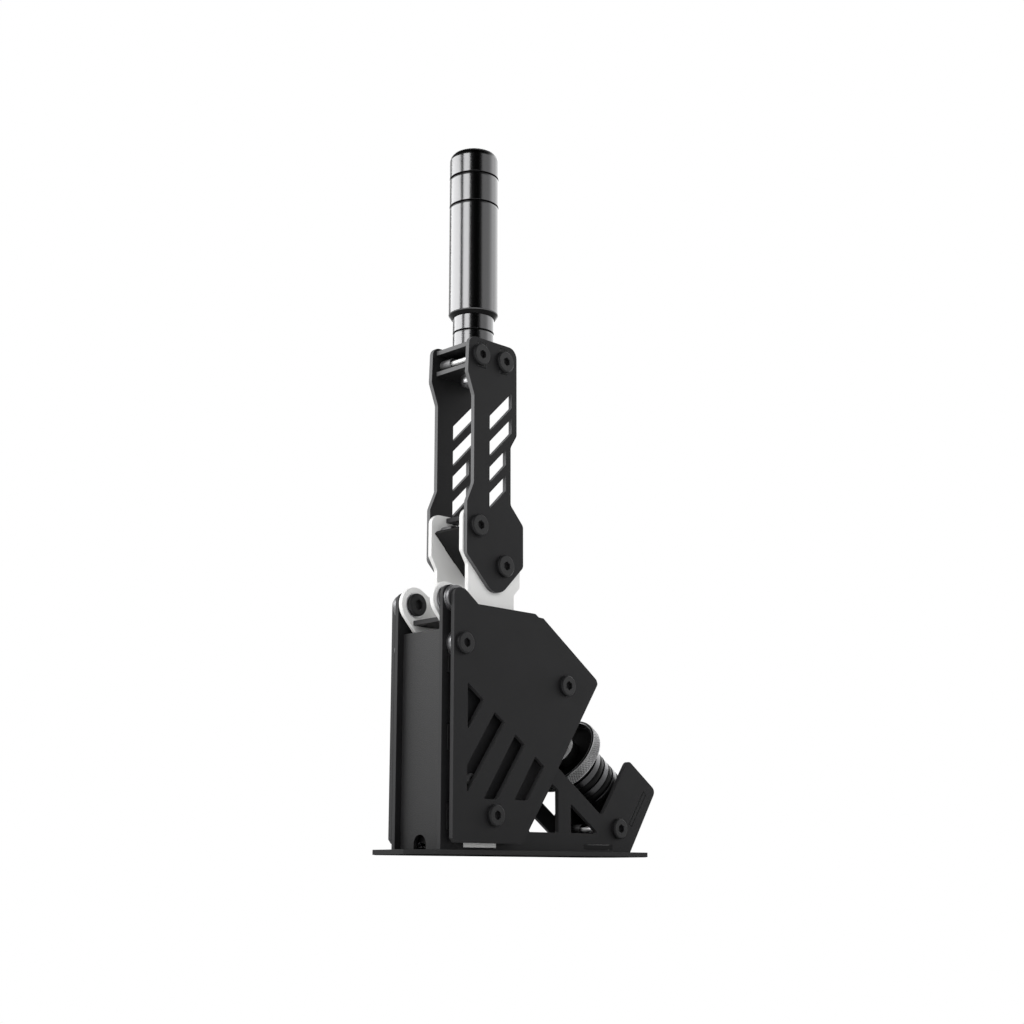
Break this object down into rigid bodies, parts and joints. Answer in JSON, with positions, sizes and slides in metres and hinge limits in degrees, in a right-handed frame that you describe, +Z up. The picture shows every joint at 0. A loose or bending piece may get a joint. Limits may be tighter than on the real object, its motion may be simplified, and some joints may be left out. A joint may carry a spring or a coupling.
{
  "type": "driving simulator handbrake lever",
  "caption": "Upright pull lever on a slotted plate frame, pressing a sloping stack of rubber pucks onto a force sensor; black plates, pale lever feet, round grip.",
  "frame": {"origin": "centre of the base plate's four mounting holes, on its underside", "axes": "+Z up, -Y towards the driver, the way the grip is pulled; +X to the right seen along +Y"},
  "size_m": [0.0642, 0.2208, 0.4733],
  "materials": {
    "black_powder_coat": "fine matt black powder coat",
    "panel_coat": "fine matt black powder coat",
    "white_powder_coat": "satin white powder coat",
    "black_screw": "blackened steel, satin",
    "dark_steel": "dark turned steel",
    "bright_steel": "bright turned steel",
    "brushed_aluminium": "brushed aluminium",
    "knurled_steel": "knurled dark steel",
    "elastomer": "smooth black elastomer, slight sheen",
    "black_plastic": "matt black plastic",
    "cable_sheath": "black cable sheath",
    "gloss_black": "polished black anodised aluminium"
  },
  "bodies": {
    "frame": {"base_plate": "black_powder_coat", "left_side_plate": "black_powder_coat", "right_side_plate": "black_powder_coat", "left_cover": "black_powder_coat", "right_cover": "black_powder_coat", "front_panel": "panel_coat", "front_floor_brace": "white_powder_coat", "rear_floor_brace": "black_powder_coat", "seat_plate": "black_powder_coat", "stop_bar": "bright_steel", "stop_sleeve": "elastomer", "left_cover_bolts": "black_screw", "right_cover_bolts": "black_screw", "cover_spacers": "dark_steel", "rear_bolts": "black_screw", "frame_sleeve_nuts": "dark_steel", "base_screws": "black_screw", "controller_box": "black_plastic", "usb_socket": "bright_steel", "controller_screws": "black_screw", "load_cell": "brushed_aluminium", "sensor_cable": "cable_sheath", "pivot_bolts": "black_screw", "pivot_spacers": "bright_steel", "pivot_washers": "bright_steel", "pivot_nuts": "dark_steel", "elastomer_puck_5": "elastomer"},
    "lever": {"left_lever_foot": "white_powder_coat", "right_lever_foot": "white_powder_coat", "foot_lower_brace": "black_powder_coat", "foot_slanted_brace": "black_powder_coat", "foot_top_brace": "black_powder_coat", "pivot_bearings": "bright_steel", "crank_pin": "bright_steel", "crank_spacers": "bright_steel", "left_lever_plate": "black_powder_coat", "right_lever_plate": "black_powder_coat", "upper_cross_plate": "black_powder_coat", "lower_cross_plate": "black_powder_coat", "left_lever_bolts": "black_screw", "right_lever_bolts": "black_screw", "lever_sleeve_nuts": "dark_steel", "grip_bolt": "bright_steel", "grip_neck": "gloss_black", "grip": "gloss_black", "grip_cap": "gloss_black"},
    "push_rod": {"push_rod": "bright_steel"},
    "plunger": {"thrust_collar": "bright_steel", "stack_stud": "bright_steel", "stop_nut": "dark_steel"},
    "preload_nut": {"preload_nut": "knurled_steel"},
    "disc_1": {"stack_disc_1": "dark_steel", "elastomer_puck_1": "elastomer"},
    "disc_2": {"stack_disc_2": "dark_steel", "elastomer_puck_2": "elastomer"},
    "disc_3": {"stack_disc_3": "dark_steel", "elastomer_puck_3": "elastomer"},
    "disc_4": {"stack_disc_4": "dark_steel", "elastomer_puck_4": "elastomer"}
  },
  "joints": [
    {"name": "lever_pull", "type": "hinge", "parent": "frame", "child": "lever", "pos_m": [0, -0.079, 0.1555], "axis": [1, 0, 0], "range_deg": [0, 10], "stiffness_Nm_per_rad": 180, "springref_deg": -1.72},
    {"name": "rod_swing", "type": "hinge", "parent": "lever", "child": "push_rod", "pos_m": [0, -0.06, 0.122], "axis": [1, 0, 0], "range_deg": [-13.25, 0]},
    {"name": "plunger_slide", "type": "slide", "parent": "frame", "child": "plunger", "axis": [0, 0.8192, -0.5736], "range_m": [0, 0.00295], "deforming": ["elastomer_puck_1", "elastomer_puck_2", "elastomer_puck_3", "elastomer_puck_4", "elastomer_puck_5"]},
    {"name": "preload_nut_turn", "type": "hinge", "parent": "plunger", "child": "preload_nut", "pos_m": [0, 0.0403, 0.0686], "axis": [0, 0.8192, -0.5736], "range_deg": [-180, 180]},
    {"name": "disc_1_slide", "type": "slide", "parent": "frame", "child": "disc_1", "axis": [0, 0.8192, -0.5736], "range_m": [0, 0.00236]},
    {"name": "disc_2_slide", "type": "slide", "parent": "frame", "child": "disc_2", "axis": [0, 0.8192, -0.5736], "range_m": [0, 0.00177]},
    {"name": "disc_3_slide", "type": "slide", "parent": "frame", "child": "disc_3", "axis": [0, 0.8192, -0.5736], "range_m": [0, 0.00118]},
    {"name": "disc_4_slide", "type": "slide", "parent": "frame", "child": "disc_4", "axis": [0, 0.8192, -0.5736], "range_m": [0, 0.0006]}
  ],
  "couplings": [
    {"joint": "rod_swing", "follows": "lever_pull", "ratio": -1.3186},
    {"joint": "plunger_slide", "follows": "lever_pull", "m_per_rad": 0.016824},
    {"joint": "disc_1_slide", "follows": "lever_pull", "m_per_rad": 0.013459},
    {"joint": "disc_2_slide", "follows": "lever_pull", "m_per_rad": 0.010094},
    {"joint": "disc_3_slide", "follows": "lever_pull", "m_per_rad": 0.0067297},
    {"joint": "disc_4_slide", "follows": "lever_pull", "m_per_rad": 0.0033648}
  ]
}
